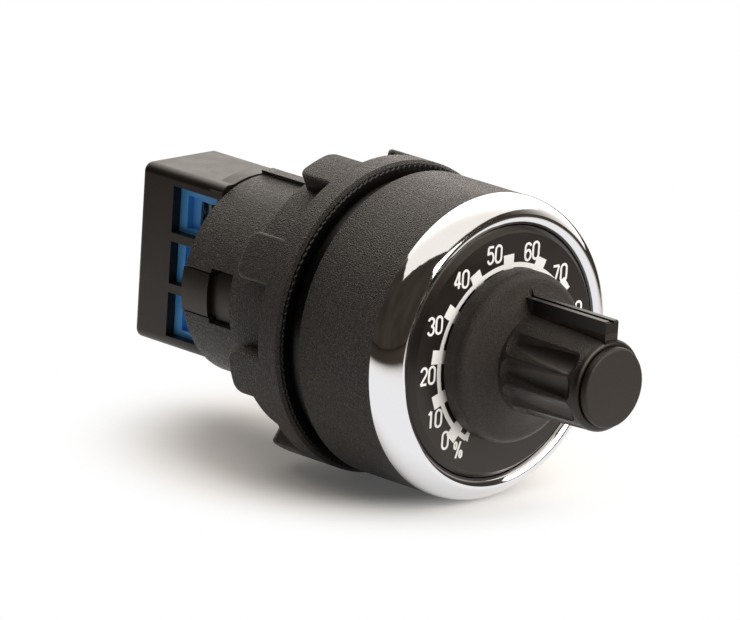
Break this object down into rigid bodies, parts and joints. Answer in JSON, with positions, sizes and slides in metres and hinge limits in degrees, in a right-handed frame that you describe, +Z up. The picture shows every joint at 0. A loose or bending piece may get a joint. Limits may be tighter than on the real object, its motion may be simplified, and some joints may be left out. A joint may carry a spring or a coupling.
{
  "type": "rotary potentiometer",
  "caption": "Panel-mount rotary potentiometer: fluted knob with a pointer fin over a 0 to 100 % dial in a chrome bezel, lobed ring nut, and a rear box with screw terminals.",
  "frame": {"origin": "on the axis of rotation, in the plane of the head's rear rim, which meets the front of the panel", "axes": "+Y along the axis from the knob to the terminals, knob towards -Y; +Z up, towards the dial's 50 mark; +X to the right seen from the front"},
  "size_m": [0.0304, 0.0596, 0.0304],
  "materials": {
    "textured_plastic": "fine spark texture",
    "smooth_plastic": "satin",
    "knob_plastic": "fine texture and satin",
    "pot_plastic": "satin",
    "chrome": "polished",
    "dial": "satin, printed in white",
    "rubber": "smooth",
    "blue_plastic": "satin",
    "board": "gloss",
    "brass": "turned",
    "steel": "zinc",
    "tin_steel": "tinned",
    "track": "matte"
  },
  "bodies": {
    "head": {"head_body": "textured_plastic", "chrome_bezel": "chrome", "scale_plate": "dial", "shaft_seal": "rubber", "panel_gasket": "rubber", "mounting_nut": "textured_plastic", "rear_carrier": "textured_plastic", "rear_housing": "smooth_plastic", "circuit_board": "board", "terminal_block": "blue_plastic", "pot_bushing": "brass", "pot_bushing_nut": "brass", "pot_case": "pot_plastic", "pot_cover": "tin_steel", "resistive_track": "track", "contact_bar_1": "tin_steel", "pot_pin_1": "tin_steel", "contact_bar_2": "tin_steel", "pot_pin_2": "tin_steel", "contact_bar_3": "tin_steel", "pot_pin_3": "tin_steel"},
    "knob": {"knob": "knob_plastic", "knob_cap": "knob_plastic", "pot_shaft": "steel", "shaft_circlip": "steel", "wiper_rotor": "pot_plastic"},
    "screw_1": {"terminal_screw_1": "steel"},
    "clamp_1": {"clamp_cage_1": "tin_steel"},
    "screw_2": {"terminal_screw_2": "steel"},
    "clamp_2": {"clamp_cage_2": "tin_steel"},
    "screw_3": {"terminal_screw_3": "steel"},
    "clamp_3": {"clamp_cage_3": "tin_steel"}
  },
  "joints": [
    {"name": "knob_turn", "type": "hinge", "parent": "head", "child": "knob", "pos_m": [0, 0, 0], "axis": [0, 1, 0], "range_deg": [-150, 150]},
    {"name": "screw_turn_1", "type": "hinge", "parent": "head", "child": "screw_1", "pos_m": [-0.00075, 0.03, -0.00493], "axis": [0, -1, 0], "range_deg": [0, 1440]},
    {"name": "clamp_lift_1", "type": "slide", "parent": "head", "child": "clamp_1", "axis": [0, 1, 0], "range_m": [0, 0.002]},
    {"name": "screw_turn_2", "type": "hinge", "parent": "head", "child": "screw_2", "pos_m": [-0.00075, 0.03, 0.00015], "axis": [0, -1, 0], "range_deg": [0, 1440]},
    {"name": "clamp_lift_2", "type": "slide", "parent": "head", "child": "clamp_2", "axis": [0, 1, 0], "range_m": [0, 0.002]},
    {"name": "screw_turn_3", "type": "hinge", "parent": "head", "child": "screw_3", "pos_m": [-0.00075, 0.03, 0.00523], "axis": [0, -1, 0], "range_deg": [0, 1440]},
    {"name": "clamp_lift_3", "type": "slide", "parent": "head", "child": "clamp_3", "axis": [0, 1, 0], "range_m": [0, 0.002]}
  ],
  "couplings": [
    {"joint": "screw_turn_1", "follows": "clamp_lift_1", "rad_per_m": 12566},
    {"joint": "screw_turn_2", "follows": "clamp_lift_2", "rad_per_m": 12566},
    {"joint": "screw_turn_3", "follows": "clamp_lift_3", "rad_per_m": 12566}
  ]
}
